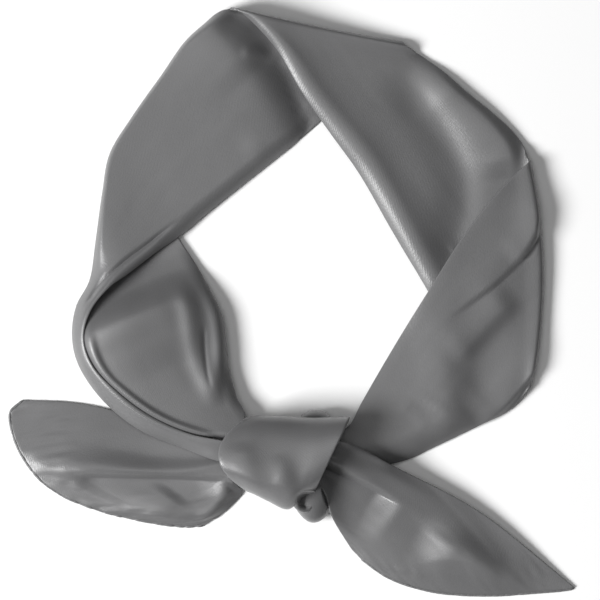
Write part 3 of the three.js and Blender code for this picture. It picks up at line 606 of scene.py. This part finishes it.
left_tail, left_cloth = tail_piece("left_tail_cloth", LEFT_RAYS, LEFT_TAIL_LIFT, LEFT_TAIL_FOLDS, 0.36, 31)
right_tail, right_cloth = tail_piece("right_tail_cloth", RIGHT_RAYS, RIGHT_TAIL_LIFT,
                                     RIGHT_TAIL_FOLDS, 0.14, 47)
left_hem = hem_piece("left_tail_rolled_hem", left_tail, 0.34, 5)
right_hem = hem_piece("right_tail_rolled_hem", right_tail, 0.12, 9)

# The wrap's rings from its left rim to its right.
RINGS = table("along back half_depth half_height lean bow", [
    [-0.26, 0.07, 0.33, 0.36, 0, 0.12],
    [-0.285, 0.07, 0.38, 0.45, 0, 0.19],
    [-0.21, 0.055, 0.42, 0.485, 0, 0.18],
    [-0.09, 0.02, 0.455, 0.5, 0.08, 0.11],
    [0.1, -0.03, 0.487, 0.5, 0.24, 0.03],
    [0.235, 0.021, 0.441, 0.49, 0.42, 0],
    [0.35, 0.08, 0.39, 0.475, 0.49, 0],
])
WRAP_FOLDS = [
    ([(303, 498), (307, 496)], -14.0, 5, 5, 1, 1),
    ([(216, 462), (240, 470), (268, 479), (300, 486)], 2.6, 24, 11, 0.6, 0),
    ([(238, 426), (241, 444), (246, 464), (254, 486)], 1.0, 12, 14, -1, 1),
    ([(272, 440), (277, 456), (284, 474), (292, 492)], 0.7, 10, 8, -1, 1),
    ([(350, 410), (336, 440), (322, 478)], 2.0, 12, 36, 0.4, 1),
]


def wrap_piece():
    """The cloth round the knot, nearly closed below, with its folds on its upper side."""
    rows = np.concatenate([[0, 0.05, 0.12, 0.25], np.linspace(0.4, 5.75, 80), [5.88, 5.95, 6]])
    turn = np.linspace(-0.5 * np.pi + 0.03, 1.5 * np.pi - 0.03, 150)
    base = UNDER_WALL + CLEARANCE
    first = curve(np.stack([RINGS["along"], RINGS["back"], RINGS["half_depth"]], -1), rows)
    second = curve(np.stack([RINGS["half_height"], RINGS["lean"], RINGS["bow"]], -1), rows)
    power = lambda v: np.sign(v) * abs(v) ** 0.8
    half_depth = (first[:, 2] * KNOT_DEPTH - KNOT_WALL / 2)[:, None]
    half_height = (second[:, 0] * KNOT_HEIGHT - KNOT_WALL / 2)[:, None]
    back = half_depth * power(np.cos(turn))[None, :]
    middle = in_knot(first[:, 0], first[:, 1], 0 * rows + 0.5)
    bow = second[:, 2:3] * KNOT_LENGTH * (1 - (back / half_depth) ** 2)
    x = middle[:, 0:1] + second[:, 1:2] * back - bow
    z = middle[:, 2:3] + base + half_height * power(np.sin(turn))[None, :]
    grid = np.stack([x, middle[:, 1:2] + back, z], -1)
    upper = np.clip(np.sin(turn), 0, 1)[None, :] ** 0.5
    grid[..., 2] += upper * fold_height(WRAP_FOLDS, in_plan(grid))
    uv = np.stack([x + 0 * z, np.broadcast_to(turn[None, :] * 18, z.shape)], -1) * MM
    u, v = uv[..., 0] / MM, uv[..., 1] / MM
    grid[..., 2] += upper * 0.15 * wobble(u, v, 9, 12, 71)
    return closed_sheet("knot_wrap_cloth", grid, KNOT_WALL, uv)


# The cloth that turns under the knot, from behind it to its front: places, half widths and outward bulge.
UNDER_ROWS = table("along back up wide bulge", [
    [0.225, 0.26, 0.52, 0.8, 0.02],
    [0.225, 0.4, 0.48, 0.82, 0.05],
    [0.225, 0.455, 0.34, 0.84, 0.055],
    [0.225, 0.45, 0.14, 0.84, 0.055],
    [0.225, 0.4, 0, 0.84, 0.03],
    [0.22, 0, 0, 0.9, 0],
    [0.212, -0.4, 0, 0.9, 0],
    [0.212, -0.49, 0.05, 0.92, -0.1],
    [0.212, -0.52, 0.2, 0.94, -0.13],
    [0.204, -0.5, 0.36, 0.88, -0.13],
    [0.192, -0.44, 0.48, 0.8, -0.09],
    [0.18, -0.34, 0.56, 0.72, -0.04],
    [0.17, -0.2, 0.6, 0.7, 0],
])
UNDER_WIDTH = 17.0


def under_piece():
    """The cloth that turns under the knot, as a strip that bulges at the back and the front."""
    rows = np.linspace(0, 12, 130)
    path = in_knot(UNDER_ROWS["along"], UNDER_ROWS["back"], UNDER_ROWS["up"])
    path[:, 2] = np.maximum(path[:, 2], UNDER_WALL / 2)
    line = curve(path, rows)
    sizes = [UNDER_ROWS["wide"] * UNDER_WIDTH / 2, UNDER_ROWS["bulge"] * KNOT_DEPTH]
    form = curve(np.stack(sizes, -1), rows)
    shares = 2 * edged(40, 0.02) - 1
    grid = line[:, None] + 0 * shares[None, :, None]
    grid[..., 0] += form[:, :1] * shares[None, :]
    grid[..., 1] += form[:, 1:] * (1 - shares[None, :] ** 2)
    arch = 0.8 * (1 - shares[None, :] ** 2) * (form[:, 1:] != 0)
    grid[..., 2] = np.maximum(grid[..., 2] + arch, UNDER_WALL / 2)
    return closed_sheet("knot_under_cloth", grid, UNDER_WALL, cloth_uv(grid))


# The curl: the wrap's front corner rolled round on itself, as places in plan, heights and half thicknesses.
CURL = table("across far up half", [
    [316, 491, 20, 0.5],
    [310, 488, 24, 1],
    [303, 488, 25.6, 1.2],
    [297, 492, 25, 1.3],
    [295, 499, 21, 1.4],
    [298, 506, 16.6, 1.5],
    [305, 509, 14.6, 1.5],
    [311, 505, 14, 1.5],
    [313, 500, 13.6, 1.5],
    [309, 496, 13, 1.2],
])


def curl_piece():
    """The curl as one tapering roll of cloth."""
    rows = np.linspace(0, 9, 120)
    centres = curve(place(CURL["across"], CURL["far"], CURL["up"]), rows)
    half = curve(np.stack([CURL["half"], 0 * CURL["half"]], -1), rows)[:, 0]
    taper = np.sqrt(np.clip(np.minimum(rows, 9 - rows) / 0.3, 0.04, 1))
    return tube("knot_curl_cloth", centres, half * taper, 20)


wrap = wrap_piece()
under = under_piece()
curl = curl_piece()


def node(tree, kind, **settings):
    """A new node in a material's tree, with some of its settings."""
    made = tree.nodes.new(kind)
    for key, value in settings.items():
        setattr(made, key, value)
    return made


def satin(name, tone, rough=0.4, twill=0.0008):
    """Woven satin: fine slanted ribs, soft sheen and slight cloudiness, all along the cloth's own map."""
    material = bpy.data.materials.new(name)
    material.use_nodes = True
    tree = material.node_tree
    tree.nodes.clear()
    link = tree.links.new
    out = node(tree, "ShaderNodeOutputMaterial")
    shader = node(tree, "ShaderNodeBsdfPrincipled")
    link(shader.outputs["BSDF"], out.inputs["Surface"])
    uv = node(tree, "ShaderNodeUVMap", uv_map="cloth")
    turned = node(tree, "ShaderNodeMapping")
    turned.inputs["Rotation"].default_value = (0, 0, math.radians(58))
    link(uv.outputs["UV"], turned.inputs["Vector"])
    rib = node(tree, "ShaderNodeTexWave", wave_type="BANDS", bands_direction="X", wave_profile="SIN")
    rib.inputs["Scale"].default_value = 0.314 / twill
    rib.inputs["Distortion"].default_value = 0.6
    rib.inputs["Detail"].default_value = 2.0
    rib.inputs["Detail Scale"].default_value = 2.0
    link(turned.outputs["Vector"], rib.inputs["Vector"])
    grain = node(tree, "ShaderNodeTexNoise")
    grain.inputs["Scale"].default_value = 1300.0
    grain.inputs["Detail"].default_value = 3.0
    link(uv.outputs["UV"], grain.inputs["Vector"])
    cloud = node(tree, "ShaderNodeTexNoise")
    cloud.inputs["Scale"].default_value = 22.0
    cloud.inputs["Detail"].default_value = 3.0
    link(uv.outputs["UV"], cloud.inputs["Vector"])
    blend = node(tree, "ShaderNodeMix", data_type="FLOAT")
    blend.inputs[0].default_value = 0.85
    link(rib.outputs["Fac"], blend.inputs[2])
    link(grain.outputs["Fac"], blend.inputs[3])
    shade = node(tree, "ShaderNodeValToRGB")
    shade.color_ramp.elements[0].position = 0.3
    shade.color_ramp.elements[0].color = (tone * 0.93, tone * 0.93, tone * 0.945, 1)
    shade.color_ramp.elements[1].position = 0.75
    shade.color_ramp.elements[1].color = (tone * 1.06, tone * 1.06, tone * 1.08, 1)
    link(blend.outputs[0], shade.inputs["Fac"])
    tint = node(tree, "ShaderNodeMix", data_type="RGBA", blend_type="MULTIPLY")
    tint.inputs[0].default_value = 0.3
    link(shade.outputs["Color"], tint.inputs[6])
    link(cloud.outputs["Fac"], tint.inputs[7])
    link(tint.outputs[2], shader.inputs["Base Color"])
    gloss = node(tree, "ShaderNodeMapRange")
    gloss.inputs["To Min"].default_value = rough - 0.06
    gloss.inputs["To Max"].default_value = rough + 0.08
    link(grain.outputs["Fac"], gloss.inputs["Value"])
    link(gloss.outputs["Result"], shader.inputs["Roughness"])
    bump = node(tree, "ShaderNodeBump")
    bump.inputs["Strength"].default_value = 0.5
    bump.inputs["Distance"].default_value = 0.0002
    link(blend.outputs[0], bump.inputs["Height"])
    link(bump.outputs["Normal"], shader.inputs["Normal"])
    shader.inputs["Specular IOR Level"].default_value = 0.75
    shader.inputs["Sheen Weight"].default_value = 0.12
    shader.inputs["Sheen Roughness"].default_value = 0.4
    shader.inputs["Anisotropic"].default_value = 0.5
    thread = node(tree, "ShaderNodeTangent", direction_type="UV_MAP", uv_map="cloth")
    link(thread.outputs["Tangent"], shader.inputs["Tangent"])
    return material


body_satin = satin("grey_satin", 0.148, rough=0.38)
hem_satin = satin("hem_satin", 0.165, rough=0.5, twill=0.0006)

for piece, material, slot_name, nodes in (
    (band, body_satin, "satin", ["left_back_band", "right_back_band", "right_front_band"]),
    (cup, body_satin, "satin", ["left_front_band"]),
    (wrap, body_satin, "satin", ["knot_wrap"]),
    (under, body_satin, "satin", ["knot_under_turn"]),
    (curl, body_satin, "satin", ["knot_curl"]),
    (left_cloth, body_satin, "satin", ["left_tail"]),
    (right_cloth, body_satin, "satin", ["right_tail"]),
    (left_hem, hem_satin, "hem", ["left_tail_hem"]),
    (right_hem, hem_satin, "hem", ["right_tail_hem"]),
):
    piece.data.materials.append(material)
    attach(piece, "root")
    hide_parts(*nodes)


# The floor, the light and the camera.
def floor_plane():
    """A plain pale floor."""
    mesh = bpy.data.meshes.new("floor")
    mesh.from_pydata([(-4, -4, 0), (4, -4, 0), (4, 4, 0), (-4, 4, 0)], [], [(0, 1, 2, 3)])
    piece = bpy.data.objects.new("floor", mesh)
    bpy.context.scene.collection.objects.link(piece)
    material = bpy.data.materials.new("floor_white")
    material.use_nodes = True
    shader = material.node_tree.nodes["Principled BSDF"]
    shader.inputs["Base Color"].default_value = (0.93, 0.93, 0.93, 1)
    shader.inputs["Roughness"].default_value = 0.9
    shader.inputs["Specular IOR Level"].default_value = 0.1
    piece.data.materials.append(material)


def soft_light(name, at, size, energy):
    """A round soft light that looks at the middle of the lay."""
    lamp = bpy.data.lights.new(name, "AREA")
    lamp.shape = "DISK"
    lamp.size = size
    lamp.energy = energy
    holder = bpy.data.objects.new(name, lamp)
    holder.location = at
    holder.rotation_euler = (Vector((0, 0, 0)) - Vector(at)).to_track_quat("-Z", "Y").to_euler()
    holder.visible_camera = False
    bpy.context.scene.collection.objects.link(holder)


floor_plane()
soft_light("window", (-2.5, -0.85, 1.95), 1.5, 166.0)
soft_light("fill", (-0.4, 0.5, 3.2), 2.6, 24.0)

world = bpy.data.worlds.new("studio")
world.use_nodes = True
world.node_tree.nodes["Background"].inputs["Color"].default_value = (1, 1, 1, 1)
world.node_tree.nodes["Background"].inputs["Strength"].default_value = 0.07
bpy.context.scene.world = world
bpy.context.scene.view_settings.view_transform = "Standard"
bpy.context.scene.view_settings.look = "None"

# The picture is as wide as the lay at this height.
PICTURE_WIDTH = 0.3
FOCUS_HEIGHT = 0.006
lens = bpy.data.cameras.new("camera")
lens.sensor_width = 36.0
lens.lens = 300.0
camera = bpy.data.objects.new("camera", lens)
centre = place(300, 300) * MM
camera.location = (centre[0], centre[1], FOCUS_HEIGHT + PICTURE_WIDTH * lens.lens / lens.sensor_width)
camera.rotation_euler = (0, 0, 0)
lens.clip_end = 50
bpy.context.scene.collection.objects.link(camera)
bpy.context.scene.camera = camera
